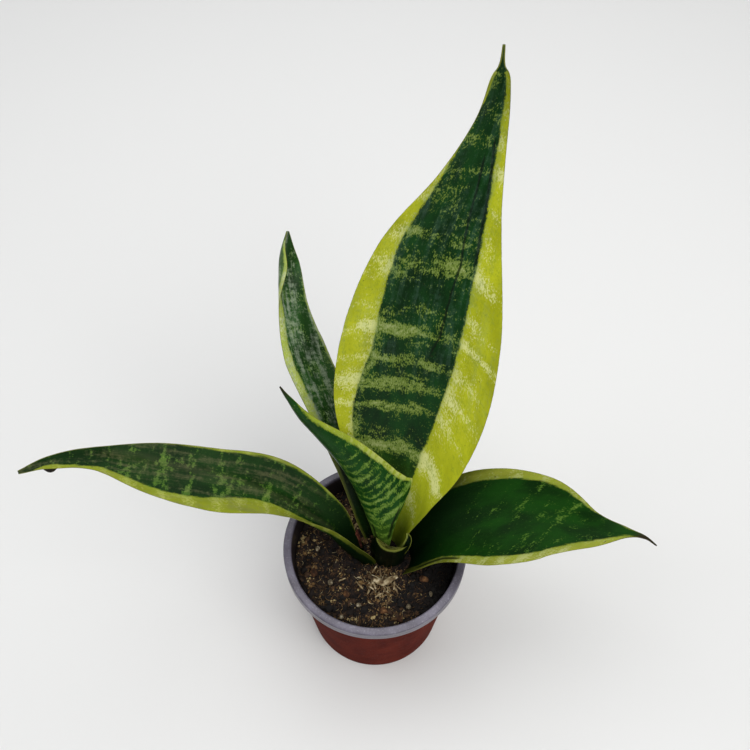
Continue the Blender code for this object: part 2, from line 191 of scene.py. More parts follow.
# ---------------------------------------------------------------- leaves
# stations, from base to tip: x, y, z of the midrib, widths of the left and the right half,
# the angle each half curls through, and the roll about the midrib.
# bands: station number, then the width of the yellow margin on the left and on the right.
# trim: station number, then the share of the left half that is there.
# stripes: distance along the midrib, half width and strength of a pale cross band.
# slant: how far the cross bands drop per mm to the right at the base and at the tip, how far they
# rise per mm outwards on both sides, and how far they drop per mm into the left and right margins.
# fringe: station numbers between which the left edge of the green breaks up, its width and strength.
# creases: depth, half width, then station number and distance from the midrib of each point.
LEAVES = {
    "leaf_tall": {
        "faces": (0, -1, 0.35),
        "stations": [
            (6, 7.2, 62, 13, 13, 145, 145, 0), (6.5, 9.8, 76, 10.5, 15, 84, 124, 0),
            (8, 12.8, 90, 9.5, 16.5, 54, 100, 0), (11, 18, 104, 16, 21, 48, 72, 0),
            (15, 28, 122, 29, 29, 42, 48, 0), (18, 40, 148, 38, 34, 32, 31, 0),
            (21, 54, 178, 37, 34, 28, 25, 0), (27, 70, 208, 29, 27, 25, 25, 0),
            (37, 85, 236, 14, 15, 30, 30, 0), (44, 95, 258, 6.5, 8, 45, 45, 0),
            (46.6, 100, 273, 6.2, 5.8, 95, 95, 0), (46.9, 102, 278, 1.3, 1.4, 80, 80, 0),
            (47, 104, 285, 0.5, 0.5, 60, 60, 0),
        ],
        "bands": [
            (0, 5, 12.5), (1, 5, 12.5), (2, 5, 13), (3, 5, 16), (4, 5, 22.6), (4.5, 6.1, 22.5),
            (5, 9, 22),
            (5.8, 15.7, 18.5), (6.1, 15, 17.2), (6.8, 11.2, 12.8), (7.25, 7.5, 9.4), (7.6, 4.6, 7),
            (8, 1.8, 5.3),
            (8.5, 0.1, 3.8), (9.2, -0.3, 3), (9.6, 1.2, 2.6), (10, 2.2, 2.8), (10.4, 1.9, 2.6),
            (10.75, -2, -2), (12, -2, -2),
        ],
        "stripes": [
            (44, 4.5, 0.6), (66, 4.6, 1.3), (88, 3.0, 0.7), (101, 5.0, 0.85), (113, 3.0, 0.7),
            (128, 3.4, 0.85),
            (139, 2.0, 0.4), (157, 4.5, 0.75), (171, 2.6, 0.4), (187, 2.8, 0.45), (201, 2.8, 0.6),
            (214, 2.4, 0.6), (226, 2.4, 0.4),
        ],
        "slant": (0.5, -0.3, 0.0, 0.15, 0.6),
        "fringe": (3.4, 6.8, 3.0, 1.0),
        "creases": [
            (0.35, 0.6, (8.9, 3.2), (8.1, 8.2), (7.7, 10.8), (7.2, 14.2), (6.84, 15.4)),
            (0.25, 0.5, (8.6, 2.0), (7.6, 5.5), (7.0, 9.0), (6.6, 8.2), (6.0, 7.2), (5.5, 1.5)),
            (-0.15, 0.4, (5.8, -25.0), (5.0, -26.4), (4.4, -24.3)),
        ],
        "grid": (300, 130),
    },
    "leaf_back": {
        "faces": (0.6, -1, 0.3),
        "stations": [
            (0.5, 8.7, 62, 4.5, 9.5, 32, 70, 0), (-4, 14, 77, 6, 11, 42, 65, 0),
            (-10, 25, 92, 7, 13, 55, 60, 0), (-18, 39, 110, 7.5, 14, 50, 50, 0),
            (-27, 52, 130, 8, 14, 45, 45, -5), (-35, 64, 152, 9, 13, 45, 45, -10),
            (-39, 75, 172, 7, 9, 60, 45, -5), (-41, 85, 190, 8, 8, 130, 50, 20),
            (-38, 91, 203, 0.9, 0.9, 60, 50, 20),
        ],
        "bands": [
            (0, 1.0, -1), (2, 1.2, -1), (3, 2.6, -1), (4, 4.2, 0.2), (5, 4.2, 0.8), (5.8, 3.2, 0.6),
            (6.4, 2.2, 0.2), (7, 1.4, -1),
            (7.7, 0.8, -1), (8, -2, -2),
        ],
        "stripes": [(92, 4, 0.4), (104, 4, 0.4), (124, 3.5, 0.5), (140, 3, 0.5), (150, 2.5, 0.4)],
        "slant": (0.2, 0.2, 0.0, 0.2, 0.2),
        "creases": [],
        "grid": (220, 60),
    },
    "leaf_young": {
        "faces": (0.3, 1, -0.2),
        "stations": [
            (6, -0.2, 62, 5.5, 5.5, 150, 150, 0), (5, -1.5, 80, 9.5, 9.5, 115, 98, 0),
            (3, 2.2, 95, 14, 11, 72, 68, 0), (-0.5, 7, 107, 19, 12.5, 62, 72, 0),
            (-6, 11.5, 121, 17, 11, 60, 68, 0), (-15, 16, 140, 11, 11, 60, 70, 0),
            (-28, 20.5, 160, 3.4, 7, 60, 60, 0), (-36.2, 23.6, 174, 1.2, 1.5, 50, 50, 0),
            (-39, 25, 180, 0.3, 0.3, 50, 50, 0),
        ],
        "trim": [
            (0, 0.2), (1.14, 0.25), (1.8, 0.42), (2.4, 0.62), (2.9, 0.86), (3.25, 1.2), (3.32, 1.24),
            (3.5, 1.12), (3.9, 1.02), (4.5, 1.0), (7, 1.0),
        ],
        "bands": [
            (0, -1, -1), (2.9, -1, -1), (3.25, 1.6, -1), (3.6, 2.4, -1), (4.3, 2.8, -1), (5.2, 2.6, -1),
            (6, 1.6, -1), (6.6, 0.5, -1), (7, -2, -2),
        ],
        "stripes": [
            (16, 9, 0.9), (25, 2.5, 0.8), (30, 1.7, 0.85), (35, 1.3, 0.85), (40, 1.9, 1.0),
            (45, 1.7, 1.0),
            (49.5, 1.5, 1.0), (54, 1.4, 0.95), (58, 1.5, 0.95), (62.5, 1.4, 0.9), (67, 1.7, 0.9),
            (71.5, 1.4, 0.8),
            (76, 1.4, 0.75), (81, 1.4, 0.6), (87, 1.4, 0.55), (93, 1.4, 0.4),
        ],
        "slant": (0.1, -0.1, -0.32, 0.0, 0.0),
        "creases": [
            (0.4, 0.8, (2.9, -13.0), (2.2, -6.0), (1.4, -1.6)), (0.25, 0.6, (2.3, 4.0), (1.0, 2.5)),
        ],
        "grid": (260, 72),
    },
    "leaf_right": {
        "faces": (-0.35, -0.25, 1),
        "stations": [
            (17, 2, 62, 13, 13, 70, 70, 0), (21, 0, 76, 17, 14.5, 60, 65, 0),
            (33, 0, 94, 22, 16.5, 45, 45, 0), (53, -0.5, 108, 24, 22.5, 30, 30, 0),
            (77, -3.5, 116, 19.5, 19.5, 25, 25, 0), (97, -11, 120, 8.5, 8.5, 30, 30, 0),
            (111, -13.2, 121, 3.1, 2, 40, 40, 0), (119, -14.6, 120.4, 0.9, 0.8, 40, 40, 0),
            (124.5, -17.4, 117.8, 0.25, 0.25, 40, 40, 0),
        ],
        "bands": [
            (0, 5, 3.5), (2, 5, 3.2), (2.8, 5.2, 4.4), (3.3, 4.9, 4.3), (3.9, 3.3, 3.9), (4.65, 1.6, 3.4),
            (5.1, 0.3, 3), (5.4, -0.8, 2.4), (6, 0.4, 0.9), (6.3, 0.2, 0.2), (6.5, -2, -2), (7, -2, -2),
        ],
        "stripes": [
            (48, 2, 0.25), (60, 2.2, 0.5), (73, 2.4, 0.6), (84, 2.4, 0.55), (93, 2.6, 0.7),
            (102, 2.4, 0.7), (110, 2, 0.5),
        ],
        "slant": (0.8, 0.8, 0.0, 0.3, 0.3),
        "creases": [(0.5, 0.7, (1.0, 12.4), (2.0, 14.0), (2.5, 17.0))],
        "grid": (240, 90),
    },
    "leaf_left": {
        "faces": (0.35, -0.3, 1),
        "stations": [
            (-5.4, 2.5, 63.5, 14, 3.5, 130, 24, 0), (-12.5, 2.5, 77, 15, 5.5, 150, 34, 0),
            (-24, 6, 94.5, 12.5, 11.5, 122, 45, 0), (-47, 13, 113, 14.5, 14.5, 45, 35, 0),
            (-73, 12, 126, 17, 13.5, 30, 30, 0), (-100, 12, 134, 12, 12, 30, 30, 0),
            (-124, 14, 139, 5.5, 6, 40, 40, 0), (-143, 12, 141, 4, 2.5, 40, 40, 0),
            (-156, 7, 140, 0.9, 0.9, 40, 40, 0),
        ],
        "bands": [
            (0, 1.4, -1), (1.4, 1.6, 0.4), (2.2, 2.6, 0.9), (3, 6.5, 1.4), (3.64, 8.2, 1.3),
            (4, 7, 0.9), (4.4, 4.6, 0.5),
            (4.8, 3.6, 0.1), (5.3, 3.4, -0.5), (5.9, 2.2, -0.6), (6.3, 0.9, -0.6), (6.8, 2.2, -0.6),
            (7.2, 1.9, -0.6), (7.5, 0.4, -0.6),
            (7.9, -2, -2), (8, -2, -2),
        ],
        "stripes": [
            (30, 1.2, 0.5), (37, 1.3, 0.5), (45, 1.5, 0.5), (56, 1.8, 0.6), (70, 2.2, 0.75),
            (84, 2.2, 0.5),
            (95, 2.4, 0.65), (107, 2.2, 0.6), (120, 2.4, 0.75), (133, 2.2, 0.7), (144, 2.0, 0.5),
        ],
        "slant": (0.1, -0.1, 0.0, 0.3, 0.3),
        "creases": [(-0.9, 2.6, (1.6, -3.5), (3.0, -4.0), (4.0, 1.0), (5.2, 5.0), (6.0, 4.0))],
        "grid": (280, 76),
    },
    "leaf_sheath": {
        "faces": (0.1, 1, 0),
        "stations": [
            (6, -6.4, 62, 8.5, 8.5, 56, 56, 0), (6, -7, 70, 11.5, 11.5, 72, 72, 0),
            (6.5, -7.2, 78, 13, 13, 78, 80, 0), (7, -7.3, 85, 12, 13, 70, 90, 0),
            (7.4, -7.6, 90, 7, 9.5, 42, 75, 0),
        ],
        "bands": [(0, -1, -1), (4, -1, -1)],
        "stripes": [(8, 2, 0.3), (16, 2, 0.3)],
        "slant": (0.0, 0.0, 0.0, 0.0, 0.0),
        "creases": [],
        "grid": (90, 64),
    },
    "sheath_curl": {
        "faces": (-0.5, -1, 0.7),
        "stations": [
            (13.2, -3.8, 81, 2.2, 2.2, 40, 40, 0), (15.4, -2.6, 85.5, 2.6, 2.2, 70, 60, 0),
            (16.6, -0.6, 88.5, 2.1, 1.7, 80, 70, 0), (15.6, 1.2, 90.5, 0.7, 0.6, 60, 60, 0),
        ],
        "bands": [(0, 0.9, -1), (3, 0.9, 0.5)],
        "stripes": [(4, 1, 0.1)],
        "slant": (0.0, 0.0, 0.0, 0.0, 0.0),
        "creases": [],
        "grid": (40, 20),
    },
}


def along(rows, t):
    """Smooth curve through evenly spaced rows of numbers, at t from 0 to 1: a cubic through each
    four neighbours."""
    rows = np.asarray(rows, dtype=float)
    last = len(rows) - 1
    place = np.clip(t * last, 0.0, last - 1e-9)
    index = place.astype(int)
    part = (place - index)[:, None]
    padded = np.vstack([2 * rows[0] - rows[1], rows, 2 * rows[-1] - rows[-2]])
    a, b, c, d = (padded[index + k] for k in range(4))
    cubic = 3 * b - a - 3 * c + d
    square = 2 * a - 5 * b + 4 * c - d
    return 0.5 * (2 * b + (c - a) * part + square * part**2 + cubic * part**3)


def read_table(rows, place):
    """Straight lines between the rows of a table whose first column is a station number."""
    rows = np.asarray(rows, dtype=float)
    return [np.interp(place, rows[:, 0], rows[:, k])[:, None] for k in range(1, rows.shape[1])]


def blade_rows(leaf, t):
    """Station values at each t, with the left half narrowed by the trim, its curve unchanged."""
    rows = along(leaf["stations"], t)
    if "trim" in leaf:
        share = read_table(leaf["trim"], t * (len(leaf["stations"]) - 1))[0]
        rows[:, 3:4] *= share
        rows[:, 5:6] *= share
    return rows


def blade_surface(leaf, t, s):
    """Middle surface: across each half of the blade a circular arc, whose length is the half's
    width and whose turn is its curl; s runs from -1 at the left margin to 1 at the right.
    The arc stands square to the midrib, faces the leaf's own way and is turned by the roll."""
    rows = blade_rows(leaf, t)
    ahead = along(leaf["stations"], np.clip(t + 1e-4, 0, 1))[:, :3]
    behind = along(leaf["stations"], np.clip(t - 1e-4, 0, 1))[:, :3]
    tangent = ahead - behind
    tangent /= np.linalg.norm(tangent, axis=1)[:, None]
    faces = np.asarray(leaf["faces"], dtype=float)
    flat = faces - (tangent @ faces)[:, None] * tangent
    flat /= np.linalg.norm(flat, axis=1)[:, None]
    beside = np.cross(tangent, flat)
    roll = np.radians(rows[:, 7])[:, None]
    normal = (flat * np.cos(roll) + beside * np.sin(roll))[:, None]
    side = (beside * np.cos(roll) - flat * np.sin(roll))[:, None]
    s = np.broadcast_to(s, (len(t), np.shape(s)[-1]))
    width = np.where(s < 0, rows[:, 3:4], rows[:, 4:5])
    curl = np.radians(np.where(s < 0, rows[:, 5:6], rows[:, 6:7]))
    turn = curl * s
    out = (width / curl * np.sin(turn))[..., None]
    depth = (width / curl * (1 - np.cos(turn)))[..., None]
    points = rows[:, None, :3] + out * side + depth * normal
    normals = np.cos(turn)[..., None] * normal - np.sin(turn)[..., None] * side
    return points, normals, width


def blade_solid(leaf, thickness, ripple, fray, seed):
    """Closed blade: a loop of points round each cross-section, upper side then lower side. The
    half thickness falls from the midrib to a thin rounded margin and from the base to the tip.
    Small waves lift the margins, fray nibbles them, and each crease is a rounded groove."""
    rows, columns = leaf["grid"]
    t = np.linspace(0.0, 1.0, rows)
    place = t * (len(leaf["stations"]) - 1)
    turn = -full_turn(2 * columns)
    s = -np.cos(turn)[None, :]
    upper = np.where(np.sin(turn) <= 1e-9, 1.0, -1.0)[None, :]
    station = blade_rows(leaf, t)
    steps = np.linalg.norm(np.diff(station[:, :3], axis=0), axis=1)
    length = np.concatenate([[0], np.cumsum(steps)])
    run = np.repeat(length[:, None], 2 * columns, axis=1)
    nibble = fray * np.abs(drift(run, 9.0 * np.sign(s) + 0 * run, 1.6, seed + 3)) * np.abs(s) ** 8
    inset = s * (1 - nibble)
    points, normals, width = blade_surface(leaf, t, inset)
    across = inset * width
    ends = np.clip(np.minimum(length, length[-1] - length) / 12.0, 0, 1)[:, None]
    lift = ripple * np.abs(s) ** 3 * drift(run, 20.0 * np.sign(s) + 0 * run, 15.0, seed)
    lift = lift + 0.12 * drift(across, run, 6.0, seed + 7)
    crease = np.zeros_like(run)
    for depth, half, *path in leaf.get("creases", []):
        path = np.array(sorted(path))
        middle = np.interp(place, path[:, 0], path[:, 1])[:, None]
        inside = np.clip(np.minimum(place - path[0, 0], path[-1, 0] - place) / 0.3, 0, 1)[:, None]
        groove = inside * np.exp(-(((across - middle) / half) ** 2))
        lift = lift - depth * groove
        # grooves count 1 and ridges -0.5; the skin lays painted shade into the grooves and a painted
        # sheen onto the ridges
        crease = crease + groove * (1.0 if depth > 0 else -0.5)
    rounding = np.sqrt(np.clip(1 - np.abs(s) ** 10, 0, 1))
    profile = 0.5 * thickness * (1 - 0.72 * np.abs(s) ** 3) * rounding
    offset = lift * ends + upper * profile * (1 - 0.62 * t**3)[:, None]
    return points + offset[..., None] * normals, across, run, place, station, upper, crease


def make_leaf(name, material, seed, thickness=LEAF_THICKNESS, tip_band=None, fray=0.004):
    """One leaf: the closed blade, with its colour zones kept on the points. The first attribute holds
    mm across, mm along (slanted as the cross bands run) and the side; the second holds mm inside the
    green, mm from the margin and the strength of the cross band; the third is the crease."""
    leaf = LEAVES[name]
    points, across, run, place, station, upper, crease = blade_solid(leaf, thickness, 0.35, fray, seed)
    left, right = read_table(leaf["bands"], place)
    inside_left = station[:, 3:4] + across
    inside_right = station[:, 4:5] - across
    green = np.minimum(inside_left - left, inside_right - right)
    margin = np.minimum(inside_left, inside_right)
    if tip_band:
        to_tip = run[-1:] - run
        green = np.minimum(green, to_tip - tip_band)
        margin = np.minimum(margin, to_tip)
    low, high, fan, drop_left, drop_right = leaf["slant"]
    drop = np.where(across < 0, drop_left, drop_right) * np.clip(-green, 0, 99)
    slanted = run + (low + (high - low) * run / run.max()) * across + fan * np.abs(across) + drop
    waved = slanted + 1.4 * drift(across, run, 9.0, seed + 5) + 0.6 * drift(across, run, 3.5, seed + 6)
    stripe = np.zeros_like(run)
    for middle, half, strength in leaf["stripes"]:
        stripe = np.maximum(stripe, strength * np.exp(-(((waved - middle) / half) ** 2)))
    if "fringe" in leaf:
        first, last, width, strength = leaf["fringe"]
        reach = np.clip(np.minimum(place - first, last - place), 0, 1)[:, None]
        from_middle = (inside_left - left - 0.6 * width) / width
        stripe = np.maximum(stripe, strength * reach * np.exp(-(from_middle**2)))
    sides = np.broadcast_to(upper, run.shape)
    attributes = {
        "blade": with_ends(np.stack([across, slanted, sides], -1)),
        "zone": with_ends(np.stack([green, margin, stripe], -1)),
        "crease": with_ends(crease),
    }
    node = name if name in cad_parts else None
    faces = tube_faces(*run.shape)
    return make_piece(name + "_blade", closed_tube(points), faces, material, attributes, node)


# the near-black base colour is painted shade where the leaves crowd at the stem; leaves with a green base
# colour of their own use it as a tint instead. The near-black crease colour is painted shade in the
# grooves, and the grey-green sheen colour is a painted sheen.
LEAF_COLOURS = {
    "deep": "08240a", "green": "103a12", "fleck": "3b6634", "pale": "96a165", "band": "64792e",
    "yellow": "adb12a", "gold": "979b1c", "cream": "c9cc85", "lime": "76892a", "hem": "6b6f2c",
    "bloom": "83948a", "crease_shade": "081608", "speck": "2a2417", "base_tint_and_shade": "020a03",
}
# random patterns on the blade: size across and along in mm, octaves, roughness
LEAF_GRAIN = {
    "stipple": (0.55, 1.1, 2.0, 0.7), "clump": (3.2, 2.2, 3.0, 0.65), "patch": (8.0, 6.0, 3.0, 0.6),
    "ragged": (1.6, 7.0, 3.0, 0.55), "shade": (9.0, 20.0, 3.0, 0.55), "specks": (1.7, 1.3, 1.0, 0.5),
    # the long streak pattern at the end of this line places the painted sheen
    "veins": (0.5, 40.0, 2.0, 0.55), "wax": (2.6, 28.0, 4.0, 0.6),
}
# cell: size of the wide pale cells in mm; cover: how much of the green turns pale; cells, bands,
# grit and clumps: how much the cells, the cross bands, the stipple and the clumps count in that;
# soft: mm the stipple pushes the edge of the green; haze: share of a painted grey sheen, which starts at
# painted_sheen_from mm; under: how pale the lower side is; gloss and shine: roughness and specular level;
# dark: share of the base colour, which fades out between two distances in mm from the base: painted
# shade where that colour is near black, a leaf's own base tint where it is green;
# tip: share of the withered tip and the distances where it starts and is full
LEAF_LOOK = {
    "cell": (17.0, 7.0), "cover": 0.42, "cells": 0.62, "bands": 0.85, "grit": 0.72, "clumps": 0.5,
    "soft": 0.5, "painted_sheen_share": 0.0, "painted_sheen_from": 40.0, "under": 0.15, "gloss": 0.33, "shine": 0.15,
    "dark": (0.0, 10.0, 40.0), "tip": (0.0, 300.0, 310.0),
}


def leaf_material(name, colours, **changes):
    """Waxy leaf skin, grown: deep green centre crossed by ragged pale bands that break up into a
    fine stipple, and a yellow margin where the same bands show as cream on gold."""
    look = {**LEAF_LOOK, **changes}
    material, tree, shader = new_material(name, IOR=1.45, Specular_IOR_Level=look["shine"])
    blade = add(tree, "ShaderNodeAttribute", attribute_name="blade").outputs["Vector"]
    zone = add(tree, "ShaderNodeAttribute", attribute_name="zone").outputs["Vector"]
    blade_parts = add(tree, "ShaderNodeSeparateXYZ", {0: blade}).outputs
    zone_parts = add(tree, "ShaderNodeSeparateXYZ", {0: zone}).outputs
    value = dict(zip(("across", "along", "upper"), blade_parts))
    value.update(zip(("inside", "margin", "stripe"), zone_parts))
    value["crease"] = add(tree, "ShaderNodeAttribute", attribute_name="crease").outputs["Fac"]

    # the random patterns, each from about -1 to 1
    grain = {**LEAF_GRAIN, "cell": (*look["cell"], 3.0, 0.55)}
    for key, (wide, long, octaves, roughness) in grain.items():
        sockets = {0: blade, 1: (1 / wide, 1 / long, 3.7)}
        spread = add(tree, "ShaderNodeVectorMath", sockets, operation="MULTIPLY").outputs[0]
        sockets = {"Vector": spread, "Scale": 1.0, "Detail": octaves, "Roughness": roughness}
        noise = add(tree, "ShaderNodeTexNoise", sockets).outputs["Fac"]
        sockets = {0: noise, 1: 4.0, 2: -2.0}
        value[key] = add(tree, "ShaderNodeMath", sockets, operation="MULTIPLY_ADD").outputs[0]

    # weighted sums of the patterns with what the blade itself carries
    sums = {
        "edge": (("inside", 1.0), ("stipple", look["soft"]), ("ragged", 0.45)),
        "paleness": (
            ("stripe", look["bands"]), ("stipple", look["grit"]), ("clump", look["clumps"]),
            ("cell", look["cells"])),
        "creams": (("stripe", 1.25), ("stipple", 0.9), ("patch", 0.6), ("cell", 0.3), ("inside", 0.06)),
        "near": (("inside", 1.0), ("stipple", 1.5)),
        "freckles": (("stipple", -1.0), ("clump", 0.5), ("patch", -0.3)),
        "base": (("along", -1.0), ("shade", 6.0)),
        "lower": (("upper", -1.0),),
        "ridge": (("crease", -1.0), ("clump", 0.12)),
        "bloom": (("wax", 1.0), ("stipple", 0.25), ("clump", 0.5)),
        "gloss": (("shade", 0.05),),
        "relief": (("veins", 0.25), ("stipple", 0.12)),
    }
    start = {"gloss": look["gloss"], "relief": 0.5}
    for key, parts in sums.items():
        total = start.get(key, 0.0)
        for part, weight in parts:
            sockets = {0: value[part], 1: weight, 2: total}
            total = add(tree, "ShaderNodeMath", sockets, operation="MULTIPLY_ADD").outputs[0]
        value[key] = total

    # masks: where a sum starts and where it is full, and the share of the colour there
    cover = look["cover"]
    base_share, near_base, far_base = look["dark"]
    tip_share, tip_start, tip_full = look["tip"]
    masks = {
        "is_centre": ("edge", -0.5, 0.5, 1.0),
        "is_band": ("paleness", 0.78 - cover, 1.26 - cover, 1.0),
        "is_strong": ("paleness", 1.2 - cover, 2.3 - cover, 1.0),
        "is_green": ("shade", -0.7, 0.7, 1.0),
        "is_fleck": ("stipple", 0.3, 1.0, 0.42),
        "is_gold": ("shade", -0.8, 0.8, 1.0),
        "is_cream": ("creams", 0.0, 0.9, 0.85),
        "is_near": ("near", -2.4, 0.4, 0.45),
        "is_freckle": ("freckles", -0.1, 1.1, 0.6),
        "is_skin": ("margin", 0.05, 0.28, 1.0),
        # painted shade: the crease grooves are laid near black
        "is_crease": ("crease", 0.15, 0.75, 0.85),
        # painted sheen: a highlight laid along the ridges
        "is_ridge": ("ridge", 0.05, 0.5, 0.09),
        "is_speck": ("specks", 1.14, 1.26, 0.7),
        # near the base: painted shade where the colour is near black, a leaf's own base tint where it is
        # green
        "is_base": ("base", -far_base, -near_base, base_share),
        "is_tip": ("along", tip_start, tip_full, tip_share),
        "is_lower": ("lower", -0.3, 0.3, look["under"]),
        # painted sheen: grey-green streaks laid over the skin from a set distance up the leaf
        "is_bloom": ("bloom", -0.3, 0.8, look["painted_sheen_share"]),
        "is_waxy": ("along", look["painted_sheen_from"] - 20, look["painted_sheen_from"] + 10, 1.0),
    }
    for key, (source, low, high, full) in masks.items():
        sockets = {"Value": value[source], "From Min": low, "From Max": high, "To Max": full}
        node = add(tree, "ShaderNodeMapRange", sockets, interpolation_type="SMOOTHSTEP")
        value[key] = node.outputs[0]
    sockets = {0: value["is_bloom"], 1: value["is_waxy"]}
    value["is_bloom"] = add(tree, "ShaderNodeMath", sockets, operation="MULTIPLY").outputs[0]

    # coats of colour, each laid over the one before where its mask is
    paints = {
        "dark_green": ("deep", (("is_green", "green"), ("is_fleck", "fleck"))),
        "pale_green": ("band", (("is_strong", "pale"),)),
        "centre": ("dark_green", (("is_band", "pale_green"),)),
        "edging": ("yellow", (
            ("is_gold", "gold"), ("is_cream", "cream"), ("is_near", "lime"), ("is_freckle", "lime"))),
        # over the skin: painted shade near the base and in the crease grooves, and a painted sheen on
        # ridges and in streaks
        "skin": ("edging", (
            ("is_centre", "centre"), ("is_base", "base_tint_and_shade"), ("is_crease", "crease_shade"), ("is_ridge", "bloom"),
            ("is_speck", "speck"), ("is_lower", "pale"), ("is_bloom", "bloom"))),
        "whole": ("hem", (("is_skin", "skin"), ("is_tip", "speck"))),
    }
    paint = {key: srgb(code) for key, code in colours.items()}
    for key, (ground, coats) in paints.items():
        colour = paint[ground]
        for mask, coat in coats:
            sockets = {0: value[mask], 6: colour, 7: paint[coat]}
            colour = add(tree, "ShaderNodeMix", sockets, data_type="RGBA").outputs[2]
        paint[key] = colour
    tree.links.new(paint["whole"], shader.inputs["Base Color"])
    tree.links.new(value["gloss"], shader.inputs["Roughness"])
    bump = add(tree, "ShaderNodeBump", {"Strength": 0.3, "Distance": 0.0002, "Height": value["relief"]})
    tree.links.new(bump.outputs[0], shader.inputs["Normal"])
    return material


# ---------------------------------------------------------------- pot
def pot_profile():
    """Pot outline as (radius, height, layer) from the middle of the underside round the rim to the
    middle of the inside; layer is 0 on the brick outer skin, 1 on the slate rim, 2 on the inside."""
    top = RIM_RADIUS - RIM_WIDTH + WALL
    low = POT_HEIGHT - RIM_DEPTH

    def wall(z):
        return BASE_RADIUS + (top - BASE_RADIUS) * z / POT_HEIGHT

    def rounded(radius, height, size, out, up):
        arc = np.linspace(0, np.pi / 2, 8)
        return [(radius + out * size * math.sin(a), height + up * size * math.cos(a)) for a in arc]

    underside = [
        (0, 0), (6, 0), (12.8, 0), (13.4, 0.3), (14.4, 1.8), (15.2, 2), (22, 2), (28.8, 2), (29.6, 1.8),
        (30.8, 0.3), (31.4, 0)]
    foot = rounded(BASE_RADIUS - 1.55, 1.6, 1.6, 1, -1)
    outer = [(wall(z), z) for z in np.linspace(2.2, low - 1, 40)]
    under_rim = [
        (wall(low) + 0.1, low + 1), (wall(low) + 0.2, POT_HEIGHT - 1.8),
        (RIM_RADIUS - 1.4, POT_HEIGHT - 1.9), (RIM_RADIUS - 1.2, low + 0.2)]
    skirt = [
        (RIM_RADIUS - 1.0, low + 0.02), (RIM_RADIUS - 0.25, low), (RIM_RADIUS, low + 0.35),
        (RIM_RADIUS, low + 2.5)]
    crest = rounded(RIM_RADIUS - 1.1, POT_HEIGHT - 1.1, 1.1, 1, 1)[::-1]
    lip = rounded(RIM_RADIUS - RIM_WIDTH + 0.9, POT_HEIGHT - 0.9, 0.9, -1, 1)
    inside = [(wall(z) - WALL, z) for z in np.linspace(77, 6, 24)]
    floor = [(wall(4.2) - WALL, 4.2), (wall(3.4) - WALL - 0.8, 3.4), (15.4, 3.4), (13.6, 1.6), (0, 1.5)]
    layers = (
        underside + foot + outer + under_rim,
        skirt + crest + [(RIM_RADIUS - 2.2, POT_HEIGHT)] + lip,
        inside + floor,
    )
    return [(radius, height, layer) for layer, part in enumerate(layers) for radius, height in part]


def make_pot(brick, slate):
    """Pot: its outline carried round the axis, with a very slight waviness of a thin formed wall."""
    profile = np.array(pot_profile(), dtype=float)
    around = 192
    angle = full_turn(around)[None, :]
    radius = profile[1:-1, :1]
    height = profile[1:-1, 1:2]
    on_wall = (radius > 33) & (height < 79)
    radius = radius - 0.12 * (1 + np.sin(3 * angle + 0.4)) * (height / POT_HEIGHT) * on_wall
    grid = np.stack([radius * np.cos(angle), radius * np.sin(angle), height + 0 * angle], -1)
    layer = profile[1:-1, 2]
    points = np.vstack([grid.reshape(-1, 3), [(0, 0, profile[0, 1]), (0, 0, profile[-1, 1])]])
    attributes = {"layer": np.concatenate([np.repeat(layer, around), [0, 2]])}
    faces = tube_faces(len(grid), around)
    piece = make_piece("pot_shell", points, faces, brick, attributes, "pot")
    piece.data.materials.append(slate)
    is_slate = np.concatenate([layer[1:] > 0.5, [False, True]])
    piece.data.polygons.foreach_set("material_index", np.repeat(is_slate, around).astype(np.int32))
    return piece


def drill_pot(pot):
    """Drain holes: upright closed cylinders on a circle, cut out of the pot's floor by an exact
    boolean whose result becomes the pot's mesh."""
    around = 24
    angle = full_turn(around)
    ring = DRAIN_RADIUS * np.stack([np.cos(angle), np.sin(angle), 0 * angle], -1)
    hole = closed_tube(np.stack([ring + (0, 0, 1.0), ring + (0, 0, 4.4)]))
    spot = full_turn(DRAIN_HOLES)[:, None]
    spots = DRAIN_CIRCLE * np.stack([np.cos(spot), np.sin(spot), 0 * spot], -1)
    faces = repeated(tube_faces(2, around), len(hole), DRAIN_HOLES)
    cutter = new_object("drain_cutter", new_mesh("drain_cutter", (hole + spots).reshape(-1, 3), faces))
    cut = pot.modifiers.new("drain", "BOOLEAN")
    cut.operation = "DIFFERENCE"
    cut.solver = "EXACT"
    cut.object = cutter
    graph = bpy.context.evaluated_depsgraph_get()
    solid = pot.evaluated_get(graph)
    drilled = bpy.data.meshes.new_from_object(solid, preserve_all_data_layers=True, depsgraph=graph)
    pot.modifiers.remove(cut)
    pot.data = drilled
    bpy.data.objects.remove(cutter)


